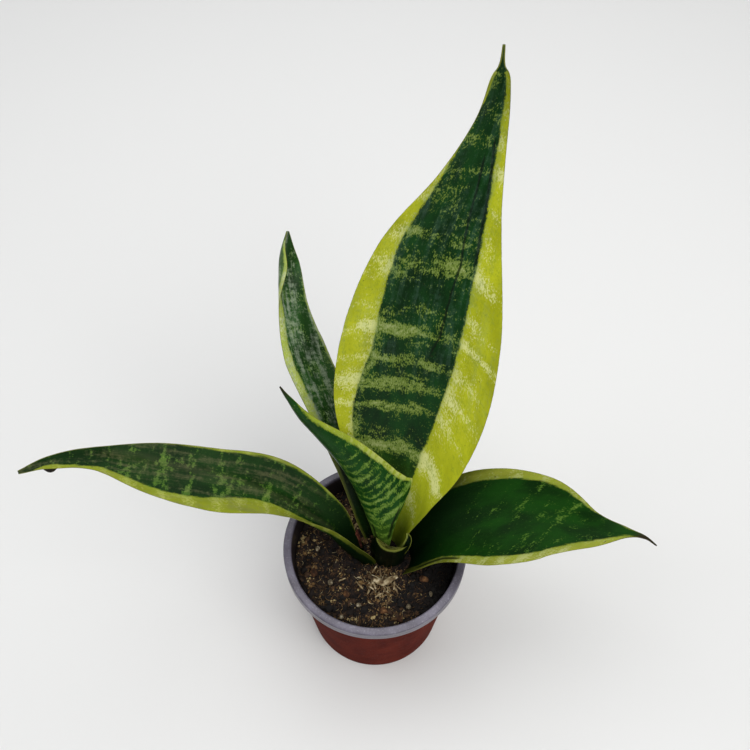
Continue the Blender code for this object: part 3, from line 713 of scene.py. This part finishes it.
def pot_plastic(name, tones, shine, roughness, dust):
    """Polypropylene sheet, thermoformed: two close tones that drift over 12 mm, faint upright draw
    marks 3 mm apart, and pale dust in specks of 1 mm; the inside is painted dark as shade."""
    material, tree, shader = new_material(name, IOR=1.49, Specular_IOR_Level=shine)
    place = add(tree, "ShaderNodeTexCoord").outputs["Object"]
    upright = {0: place, 1: (1 / 0.003, 1 / 0.003, 1 / 0.06)}
    tall = add(tree, "ShaderNodeVectorMath", upright, operation="MULTIPLY").outputs[0]
    value = {"layer": add(tree, "ShaderNodeAttribute", attribute_name="layer").outputs["Fac"]}
    patterns = {
        "cloud": (place, 1 / 0.012, 5.0, 0.6), "draw": (tall, 1.0, 3.0, 0.5),
        "grit": (place, 1 / 0.0009, 2.0, 0.5)}
    for key, (vector, scale, octaves, rough) in patterns.items():
        sockets = {"Vector": vector, "Scale": scale, "Detail": octaves, "Roughness": rough}
        value[key] = add(tree, "ShaderNodeTexNoise", sockets).outputs["Fac"]
    colour = srgb(tones[0])
    # the last coat is painted shade: the inside of the pot is laid dark
    coats = (
        ("cloud", 0.35, 0.65, 1.0, tones[1]), ("grit", 0.56, 0.75, dust, "a09ba4"),
        ("grit", 0.38, 0.28, 0.6 * dust, "3a2a22"), ("layer", 1.0, 1.6, 1.0, "241f1f"))
    for source, low, high, full, code in coats:
        sockets = {"Value": value[source], "From Min": low, "From Max": high, "To Max": full}
        mask = add(tree, "ShaderNodeMapRange", sockets).outputs[0]
        sockets = {0: mask, 6: colour, 7: srgb(code)}
        colour = add(tree, "ShaderNodeMix", sockets, data_type="RGBA").outputs[2]
    tree.links.new(colour, shader.inputs["Base Color"])
    sockets = {"Value": value["cloud"], "To Min": roughness - 0.1, "To Max": roughness + 0.1}
    tree.links.new(add(tree, "ShaderNodeMapRange", sockets).outputs[0], shader.inputs["Roughness"])
    bump = add(tree, "ShaderNodeBump", {"Strength": 0.12, "Distance": 0.0002, "Height": value["draw"]})
    tree.links.new(bump.outputs[0], shader.inputs["Normal"])
    return material


# ---------------------------------------------------------------- potting mix
def mix_height(x, y):
    """Top of the potting mix: low swells, clods about 6 mm across and fine grain."""
    swell = 0.5 * np.sin(x * 0.31 + 0.7) * np.cos(y * 0.27) + 0.35 * np.sin(x * 0.53 - y * 0.44 + 1.9)
    clods = 1.3 * drift(x, y, 6.0, 11) + 0.95 * drift(x, y, 2.6, 12) + 0.4 * drift(x, y, 1.2, 13)
    return SOIL_TOP + swell + clods


def painted_shade_share(x, y):
    """Share of painted shade on the mix, from 0 to 1, under the right leaf: it rises over 22 mm towards
    +X and a little +Y.
    """
    return np.clip((x + 0.4 * y - 2) / 22, 0, 1)


def make_mix(material):
    """Closed body of mix: rings up beside the wall, then polar rings inwards over the top."""
    rings = 150
    around = 260
    angle = full_turn(around)[None, :]
    radius = np.linspace(0.6, SOIL_RADIUS, rings)[::-1][:, None]
    x = radius * np.cos(angle)
    y = radius * np.sin(angle)
    edge_drop = 1.2 * np.clip((radius - SOIL_RADIUS + 2.0) / 2.0, 0, 1) ** 2
    top = np.stack([x, y, mix_height(x, y) - edge_drop], -1)
    wall = np.array([(34.2, 3.9), (35.5, 20), (37.3, 40), (38.7, 56), (39.4, 64)])[:, :, None]
    flat = 0 * angle
    side = np.stack([wall[:, 0] * np.cos(angle), wall[:, 0] * np.sin(angle), wall[:, 1] + flat], -1)
    grid = np.concatenate([side, top])
    middle = float(mix_height(0.0, 0.0))
    points = np.vstack([grid.reshape(-1, 3), [(0, 0, 3.9), (0, 0, middle)]])
    return make_piece("potting_mix", points, tube_faces(len(grid), around), material, {}, "soil")


def icosahedron():
    """Twelve corners and twenty triangles of a regular solid of radius 1."""
    golden = (1 + 5**0.5) / 2
    corners = []
    for a in (-1, 1):
        for b in (-golden, golden):
            corners += [(0, a, b), (a, b, 0), (b, 0, a)]
    corners = np.array(corners) / math.hypot(1, golden)
    gaps = np.linalg.norm(corners[:, None] - corners[None, :], axis=2)
    near = (gaps > 0.1) & (gaps < 1.2)
    faces = []
    for i, j, k in itertools.combinations(range(12), 3):
        if near[i, j] and near[j, k] and near[i, k]:
            out = np.dot(np.cross(corners[j] - corners[i], corners[k] - corners[i]), corners[i])
            faces.append((i, j, k) if out > 0 else (i, k, j))
    return corners, np.array(faces)


def turns(count, rng):
    """Random rotation matrices from unit quaternions."""
    q = rng.normal(size=(count, 4))
    w, x, y, z = (q / np.linalg.norm(q, axis=1)[:, None]).T
    rows = [
        [1 - 2 * (y * y + z * z), 2 * (x * y - z * w), 2 * (x * z + y * w)],
        [2 * (x * y + z * w), 1 - 2 * (x * x + z * z), 2 * (y * z - x * w)],
        [2 * (x * z - y * w), 2 * (y * z + x * w), 1 - 2 * (x * x + y * y)],
    ]
    return np.moveaxis(np.array(rows), 2, 0)


def scatter(count, rng, reach, clear):
    """Places spread evenly over the mix, kept off the stem."""
    radius = reach * np.sqrt(rng.uniform(0, 1, count * 2))
    angle = rng.uniform(0, 2 * np.pi, count * 2)
    x = radius * np.cos(angle)
    y = radius * np.sin(angle)
    keep = np.hypot(x - STEM[0], y - STEM[1]) > clear
    return x[keep][:count], y[keep][:count]


def make_crumbs(name, material, count, sizes, tones, seed):
    """Crumbs of mix: a twenty-sided lump with jogged corners, copied, stretched, turned, flattened
    and sunk a little into the mix; tone is each crumb's colour from dark peat to pale coir."""
    rng = np.random.default_rng(seed)
    corners, faces = icosahedron()
    x, y = scatter(count, rng, CRUMB_REACH, STEM_CLEAR)
    count = len(x)
    size = sizes[0] + (sizes[1] - sizes[0]) * rng.uniform(0, 1, count) ** 2.5
    stretch = rng.uniform(0.45, 1.35, (count, 1, 3))
    lumps = corners[None] * (1 + rng.uniform(-0.28, 0.28, (count, 12, 1))) * stretch
    lumps = np.einsum("nij,nkj->nki", turns(count, rng), lumps) * size[:, None, None]
    lumps[..., 2] *= 0.75
    z = mix_height(x, y) + 0.35 * size
    points = (lumps + np.stack([x, y, z], -1)[:, None]).reshape(-1, 3)
    patches = 0.3 * drift(x, y, 8.0, 21) + 0.4 * drift(x, y, 3.2, 22)
    tone = rng.uniform(tones[0], tones[1], count) + patches
    # painted shade: crumbs towards +X are darkened where they lie under the right leaf
    tone = np.clip(tone - 0.6 * painted_shade_share(x, y), 0, 1)
    attributes = {"tone": np.repeat(tone, 12)}
    piece = make_piece(name, points, repeated([faces], 12, count), material, attributes)
    piece.data.polygons.foreach_set("use_smooth", np.zeros(len(piece.data.polygons), dtype=bool))
    return piece


def make_fibres(name, material, count, seed, length, thick, clump=None):
    """Coir fibres and root hairs: thin three-sided tubes along bent paths that lie on the mix,
    scattered all over it or in a clump (x, y and spread in mm)."""
    rng = np.random.default_rng(seed)
    x, y = scatter(count, rng, 37.0, 8.0)
    if clump:
        x, y = (middle + clump[2] * rng.normal(size=len(x)) for middle in clump[:2])
    count = len(x)
    steps = 7
    k = np.linspace(-0.5, 0.5, steps)[None, :]
    heading = rng.uniform(0, 2 * np.pi, (count, 1))
    bend = rng.uniform(-1.6, 1.6, (count, 1))
    size = rng.uniform(length[0], length[1], (count, 1))
    way = heading + bend * k
    px = x[:, None] + size * k * np.cos(way)
    py = y[:, None] + size * k * np.sin(way)
    shrink = np.minimum(1.0, FIBRE_REACH / np.maximum(np.hypot(px, py), 1e-6))
    px *= shrink
    py *= shrink
    lift = rng.uniform(0.3, 1.1, (count, 1)) + rng.uniform(0, 1.2, (count, 1)) * np.cos(2.5 * k)
    centre = np.stack([px, py, mix_height(px, py) + lift], -1)
    radius = rng.uniform(thick[0], thick[1], (count, 1)) * (1 - 0.7 * np.abs(2 * k))
    spin = full_turn(3)[:, None]
    flat = np.stack([-np.sin(way), np.cos(way), 0 * way], -1)[:, :, None]
    ring = flat * np.cos(spin) + np.array([0, 0, 1.0]) * np.sin(spin)
    grid = centre[:, :, None] + ring * radius[..., None, None]
    block = steps * 3 + 2
    points = np.concatenate([grid.reshape(count, -1, 3), centre[:, [0, -1]]], axis=1).reshape(-1, 3)
    faces = repeated(tube_faces(steps, 3), block, count)
    # painted shade: fibres towards +X are darkened where they lie under the right leaf
    tone = np.repeat(rng.uniform(0, 1, count) * (1 - 0.85 * painted_shade_share(x, y)), block)
    return make_piece(name, points, faces, material, {"tone": tone})


def earthy_material(name, stops, grains, span, relief, base=None, **finish):
    """Matt organic or mineral matter, loose or broken: noises are added up, each with its grain in
    mm, octaves and weight, and the sum between two limits picks the colour from dark to light. The
    base is a tone kept on the points, or painted shade, which darkens the +X side under the right leaf.
    The first grain also lifts the surface, by a strength and a distance in mm."""
    material, tree, shader = new_material(name, **finish)
    place = add(tree, "ShaderNodeTexCoord").outputs["Object"]
    total = 0.0
    if base == "tone":
        total = add(tree, "ShaderNodeAttribute", attribute_name="tone").outputs["Fac"]
    # painted shade: the tone drops towards +X, under the right leaf
    if base == "painted_shade":
        across = add(tree, "ShaderNodeSeparateXYZ", {0: place}).outputs
        sockets = {0: across[1], 1: 0.4, 2: across[0]}
        way = add(tree, "ShaderNodeMath", sockets, operation="MULTIPLY_ADD").outputs[0]
        sockets = {"Value": way, "From Max": 0.022, "To Max": -0.4}
        total = add(tree, "ShaderNodeMapRange", sockets).outputs[0]
    noises = []
    for millimetres, octaves, weight in grains:
        sockets = {"Vector": place, "Scale": 1000 / millimetres, "Detail": octaves}
        noises.append(add(tree, "ShaderNodeTexNoise", sockets).outputs["Fac"])
        sockets = {0: noises[-1], 1: weight, 2: total}
        total = add(tree, "ShaderNodeMath", sockets, operation="MULTIPLY_ADD").outputs[0]
    sockets = {"Value": total, "From Min": span[0], "From Max": span[1]}
    share = add(tree, "ShaderNodeMapRange", sockets).outputs[0]
    ramp = add(tree, "ShaderNodeValToRGB", {"Fac": share})
    elements = ramp.color_ramp.elements
    while len(elements) < len(stops):
        elements.new(0.5)
    for element, (position, code) in zip(elements, stops):
        element.position = position
        element.color = srgb(code)
    tree.links.new(ramp.outputs["Color"], shader.inputs["Base Color"])
    sockets = {"Strength": relief[0], "Distance": relief[1] * MM, "Height": noises[0]}
    tree.links.new(add(tree, "ShaderNodeBump", sockets).outputs[0], shader.inputs["Normal"])
    return material


def loose_matter(name, stops, roughness, grain):
    """Crumbs, fibres and dry leaf: each grain takes one tone of the range, mottled finely inside."""
    return earthy_material(
        name, stops, [(grain, 3.0, 0.5)], (0.25, 1.25), (0.5, 0.3), "tone", IOR=1.4, Roughness=roughness)


def lump_matter(name, stops, roughness, grain):
    """Matt mineral or woody lump: tones mottled at the grain's size, and pitted."""
    return earthy_material(
        name, stops, [(grain, 5.0, 1.0), (2.5 * grain, 2.0, 1.0)], (0.65, 1.3), (0.6, 0.4),
        IOR=1.5, Roughness=roughness, Specular_IOR_Level=0.2)


# ---------------------------------------------------------------- litter on the mix
def make_lump(node, material, seed, rough):
    """Rounded lump filling a node's box: a sphere of latitude rings, stretched to the box and pushed
    in and out by smooth random amounts over its surface."""
    low, high = (np.array(corner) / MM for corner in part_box(node))
    rows = 14
    around = 22
    polar = np.linspace(0.15, np.pi - 0.15, rows)[:, None]
    angle = full_turn(around)[None, :]
    level = -np.cos(polar) + 0 * angle
    unit = np.stack([np.sin(polar) * np.cos(angle), np.sin(polar) * np.sin(angle), level], -1)
    bumps = drift(unit[..., 0] + unit[..., 2], unit[..., 1] - unit[..., 2], 0.45, seed)
    push = 1 - rough * (0.5 + 0.5 * bumps)
    points = closed_tube((low + high) / 2 + unit * push[..., None] * (high - low) / 2)
    return make_piece(node + "_fine", points, tube_faces(rows, around), material, {}, node)


def make_scrap(name, material, stations, faces, size, thickness, seed, node=None):
    """Dry scrap: a small blade of the same form as a leaf, with deeper ripples and torn margins."""
    scrap = {"faces": faces, "stations": stations, "grid": size}
    points, across, run, *rest = blade_solid(scrap, thickness, 0.9, 0.45, seed)
    tone = np.clip(0.5 + 0.5 * drift(across, run, 1.4, seed + 9), 0, 1)
    attributes = {"tone": with_ends(tone)}
    faces = tube_faces(*run.shape)
    return make_piece(name, closed_tube(points), faces, material, attributes, node)


# ---------------------------------------------------------------- build: leaves
# for each leaf: its skin's name, the seed of its waves, its own colours and its own look
LEAF_SKINS = {
    "leaf_tall": (
        "leaf_skin_tall", 31,
        {"yellow": "b2b822", "gold": "999f16", "cream": "d6d993", "lime": "7c8f22", "bloom": "5f7f70",
         "base_tint_and_shade": "5a7220"},
        {"soft": 0.6, "painted_sheen_share": 0.14, "painted_sheen_from": 110.0, "dark": (0.7, 22.0, 70.0)},
    ),
    "leaf_back": (
        "leaf_skin_back", 41,
        {"deep": "14300c", "green": "2a5520", "band": "587638", "pale": "8ca06c", "yellow": "b9c85c",
         "gold": "a3b34a", "cream": "d6ddb0", "bloom": "96a38e"},
        {"cell": (5.0, 12.0), "cover": 0.6, "painted_sheen_share": 0.72, "gloss": 0.36, "shine": 0.2,
         "dark": (0.8, 55.0, 80.0), "painted_sheen_from": 75.0},
    ),
    "leaf_young": (
        "leaf_skin_young", 51,
        {"deep": "0a2c08", "green": "174512", "band": "5a7a2a", "pale": "8fa45c", "yellow": "94a230",
         "gold": "828f26", "cream": "b2ba6a", "base_tint_and_shade": "5a7826"},
        {"cell": (9.0, 4.0), "cover": 0.4, "cells": 0.42, "clumps": 0.62, "grit": 0.5, "shine": 0.1,
         "under": 0.0, "dark": (0.75, 14.0, 44.0), "tip": (0.9, 122.0, 132.0)},
    ),
    "leaf_right": (
        "leaf_skin_broad", 61,
        {"deep": "0a2606", "green": "133c09", "fleck": "2a4a18", "band": "41621f", "pale": "7c943f",
         "yellow": "8e9434", "gold": "767c24", "cream": "a7ac70"},
        {"cell": (7.0, 5.0), "cover": 0.2, "cells": 0.6, "soft": 0.3, "grit": 0.62, "gloss": 0.45,
         "shine": 0.05, "dark": (0.85, 24.0, 66.0), "tip": (0.95, 124.0, 130.0)},
    ),
    "leaf_left": (
        "leaf_skin_arched", 71,
        {"deep": "0c2408", "green": "17360e", "fleck": "2f4e1e", "band": "40601f", "pale": "728b38",
         "yellow": "868f22", "gold": "6e7619", "cream": "9fa552", "bloom": "6c6a4a"},
        {"cell": (9.0, 5.0), "cover": 0.42, "soft": 0.3, "grit": 0.42, "clumps": 0.7, "painted_sheen_share": 0.34,
         "painted_sheen_from": 55.0, "gloss": 0.42, "shine": 0.07, "under": 0.0, "dark": (0.85, 16.0, 54.0)},
    ),
}
for leaf_name, (skin, seed, colours, look) in LEAF_SKINS.items():
    make_leaf(leaf_name, leaf_material(skin, {**LEAF_COLOURS, **colours}, **look), seed)
# painted shade: the sheath's outer face is coloured near black because it sits in shade at the foot of
# the leaves
sheath_colours_with_painted_shade = {
    **LEAF_COLOURS, "deep": "020b03", "green": "061406", "fleck": "152414", "band": "1d2a12",
    "yellow": "767a38", "gold": "626630", "cream": "a7ac70",
}
sheath = leaf_material("leaf_skin_sheath", sheath_colours_with_painted_shade, cover=0.05, under=0.0)
make_leaf("leaf_sheath", sheath, 81, thickness=1.3, tip_band=1.1, fray=0.03)
make_leaf("sheath_curl", sheath, 82, thickness=1.0, tip_band=1.0, fray=0.03)

# ---------------------------------------------------------------- build: pot and potting mix
brick_skin = pot_plastic("brick_polypropylene", ("4c140a", "62251a"), 0.02, 0.7, 0.06)
slate_skin = pot_plastic("slate_polypropylene", ("4e4a55", "6f6b79"), 0.42, 0.34, 0.4)
drill_pot(make_pot(brick_skin, slate_skin))

# peat and coir: near-black brown with rusty and tan grains about 1 mm across; painted shade darkens the
# +X side under the right leaf
BED_STOPS = ((0.0, "0c0806"), (0.42, "1a110d"), (0.66, "2e1f13"), (0.85, "55401f"), (1.0, "86693c"))
bed = earthy_material(
    "peat_and_coir", BED_STOPS, [(1.2, 4.0, 1.0), (9.0, 3.0, 1.0)], (0.7, 1.4), (0.7, 0.6), "painted_shade",
    IOR=1.4, Roughness=0.92)
make_mix(bed)
CRUMB_STOPS = ((0.0, "080504"), (0.35, "1c120c"), (0.6, "3e2a18"), (0.82, "6c522e"), (1.0, "a39063"))
crumb_skin = loose_matter("peat_crumbs", CRUMB_STOPS, 0.9, 0.8)
make_crumbs("crumbs_fine", crumb_skin, 8600, (0.22, 0.75), (-0.1, 0.85), 101)
make_crumbs("crumbs_coarse", crumb_skin, 820, (0.7, 1.9), (-0.15, 0.68), 102)
FIBRE_STOPS = ((0.0, "1e130b"), (0.35, "5d4023"), (0.7, "8f7044"), (1.0, "c9b98f"))
coir = loose_matter("coir_fibre", FIBRE_STOPS, 0.8, 1.5)
make_fibres("coir_fibres", coir, 700, 103, (1.2, 4.2), (0.06, 0.13))

# ---------------------------------------------------------------- build: litter
PERLITE_STOPS = ((0.0, "2a2218"), (0.4, "544a39"), (0.75, "7e745f"), (1.0, "a8a08c"))
BARK_STOPS = ((0.0, "1d120b"), (0.45, "3b2618"), (0.8, "5f4128"), (1.0, "86643f"))
ROOT_STOPS = ((0.0, "6d4f2a"), (0.5, "96733f"), (1.0, "c2a26a"))
perlite = lump_matter("expanded_perlite", PERLITE_STOPS, 0.95, 0.7)
bark = lump_matter("pine_bark", BARK_STOPS, 0.9, 1.4)
root_skin = lump_matter("rhizome_skin", ROOT_STOPS, 0.7, 2.0)
for count, node_name in enumerate(sorted(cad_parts)):
    if node_name.startswith("perlite"):
        make_lump(node_name, perlite, 200 + count, 0.3)
    elif node_name.startswith("bark"):
        make_lump(node_name, bark, 200 + count, 0.4)
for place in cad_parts["rhizome"].material_slots:
    place.material = root_skin

# the clump of dry sheath in front of the stem: one main scrap, hairs and loose flakes
HUSK_STOPS = ((0.0, "2e2014"), (0.3, "5d4a30"), (0.7, "90805f"), (1.0, "c8bb9e"))
husk = loose_matter("dry_leaf_sheath", HUSK_STOPS, 0.85, 0.9)
MAIN_SCRAP = [
    (-3, -12.5, 71.4, 1, 1.3, 40, 40, 0), (0, -14.5, 73.4, 2.4, 2, 100, 80, 25),
    (3.5, -17, 72.4, 2.6, 1.8, 70, 110, -30), (7, -15, 74, 2.2, 2.4, 110, 70, 20),
    (11, -13, 71.8, 0.7, 0.8, 40, 40, 0),
]
make_scrap("dried_sheath_main", husk, MAIN_SCRAP, (0, -0.5, 1), (60, 18), 0.4, 301, "dried_sheath")
make_fibres("husk_hairs", coir, 340, 104, (1.5, 4.5), (0.08, 0.2), (3.0, -15.5, 4.2))
rng = np.random.default_rng(310)
for count in range(30):
    x = 3 + 5.5 * rng.normal()
    y = -16 + 3.4 * rng.normal()
    z = float(mix_height(x, y)) + rng.uniform(0.6, 3.0)
    way = rng.uniform(0, 2 * np.pi)
    size = rng.uniform(1.0, 3.0)
    dx = size * math.cos(way)
    dy = size * math.sin(way)
    wide = rng.uniform(0.25, 0.8)
    stations = [
        (x - dx, y - dy, z - 0.4, 0.5 * wide, 0.4 * wide, 30, 30, 0),
        (x, y, z + 0.3, wide, wide, 60, 60, 20),
        (x + dx, y + dy, z + rng.uniform(-0.5, 0.8), 0.4 * wide, 0.3 * wide, 30, 30, 0),
    ]
    facing = (rng.uniform(-0.6, 0.6), rng.uniform(-0.9, 0.1), 1)
    make_scrap(f"husk_{count + 1}", husk, stations, facing, (12, 8), 0.3, 320 + count)
SCALE_STOPS = ((0.0, "2a120c"), (0.5, "4d2318"), (1.0, "7c4a35"))
DEAD_SCALE = [
    (-7.5, 3, 70, 1.6, 1.6, 60, 60, 0), (-8, 4.5, 74, 2.2, 2.0, 70, 70, 0),
    (-8.6, 6, 78.5, 1.6, 1.6, 60, 60, 0), (-9, 7, 82, 0.4, 0.4, 60, 60, 0),
]
scale_skin = loose_matter("dead_scale_leaf", SCALE_STOPS, 0.7, 1.2)
make_scrap("dead_scale", scale_skin, DEAD_SCALE, (-0.2, -1, 0.4), (24, 12), 0.4, 341)
TIP_STOPS = ((0.0, "0c0a07"), (0.5, "1c1810"), (1.0, "3b3220"))
WITHERED_TIP = [
    (-147, 10.4, 140.2, 0.5, 0.6, 40, 40, 0), (-144.5, 9.2, 139, 1.3, 0.9, 50, 40, 10),
    (-142, 9, 138.6, 1.1, 1.2, 40, 50, -10), (-139.5, 10, 139.6, 0.4, 0.4, 40, 40, 0),
]
tip_skin = loose_matter("withered_leaf_tip", TIP_STOPS, 0.8, 1.0)
make_scrap("tip_scrap", tip_skin, WITHERED_TIP, (0, -0.8, 1), (18, 9), 0.35, 342)

# ---------------------------------------------------------------- stage, light and camera
FLOOR_REACH = 6000.0
floor_corners = FLOOR_REACH * np.array([(-1, -1, 0), (1, -1, 0), (1, 1, 0), (-1, 1, 0)])
floor = new_object("floor", new_mesh("floor", floor_corners, [np.array([(0, 1, 2, 3)])]))
floor_paint, floor_tree, floor_shader = new_material("matt_paper_backdrop", Roughness=0.95)
floor_shader.inputs["Base Color"].default_value = srgb("e4e4e3")
floor.data.materials.append(floor_paint)

world = bpy.data.worlds.new("soft_room")
bpy.context.scene.world = world
world.use_nodes = True
sky = world.node_tree.nodes["Background"]
sky.inputs["Color"].default_value = (0.95, 0.97, 1.0, 1.0)
sky.inputs["Strength"].default_value = 0.24


def area_light(name, place, aim, size, power, colour):
    """Square soft light at a place, turned towards an aim point, both in metres."""
    data = bpy.data.lights.new(name, "AREA")
    data.size = size
    data.energy = power
    data.color = colour
    lamp = new_object(name, data)
    way = np.array(aim) - np.array(place)
    flat = math.hypot(way[0], way[1])
    lamp.location = place
    lamp.rotation_euler = (math.atan2(flat, -way[2]), 0.0, math.atan2(-way[0], way[1]))


area_light("key_window", (1.1, -1.5, 2.4), (0, 0.04, 0.08), 2.4, 57.0, (1.0, 0.99, 0.97))
area_light("fill_room", (-2.0, 0.2, 2.3), (0, 0.02, 0.1), 2.0, 22.0, (0.97, 0.98, 1.0))
area_light("top_softbox", (0.05, 0.28, 1.0), (0.0, 0.16, 0.0), 0.8, 4.6, (1.0, 1.0, 1.0))

LOOK_DOWN = 54.7
camera_data = bpy.data.cameras.new("camera")
camera_data.sensor_width = 36.0
camera_data.lens = 40.8
camera_data.clip_start = 0.01
camera_data.clip_end = 50.0
camera = new_object("camera", camera_data)
camera.location = (0.0, -0.173, 0.468)
camera.rotation_euler = (math.radians(90.0 - LOOK_DOWN), 0.0, 0.0)
bpy.context.scene.camera = camera
bpy.context.scene.view_settings.view_transform = "Standard"
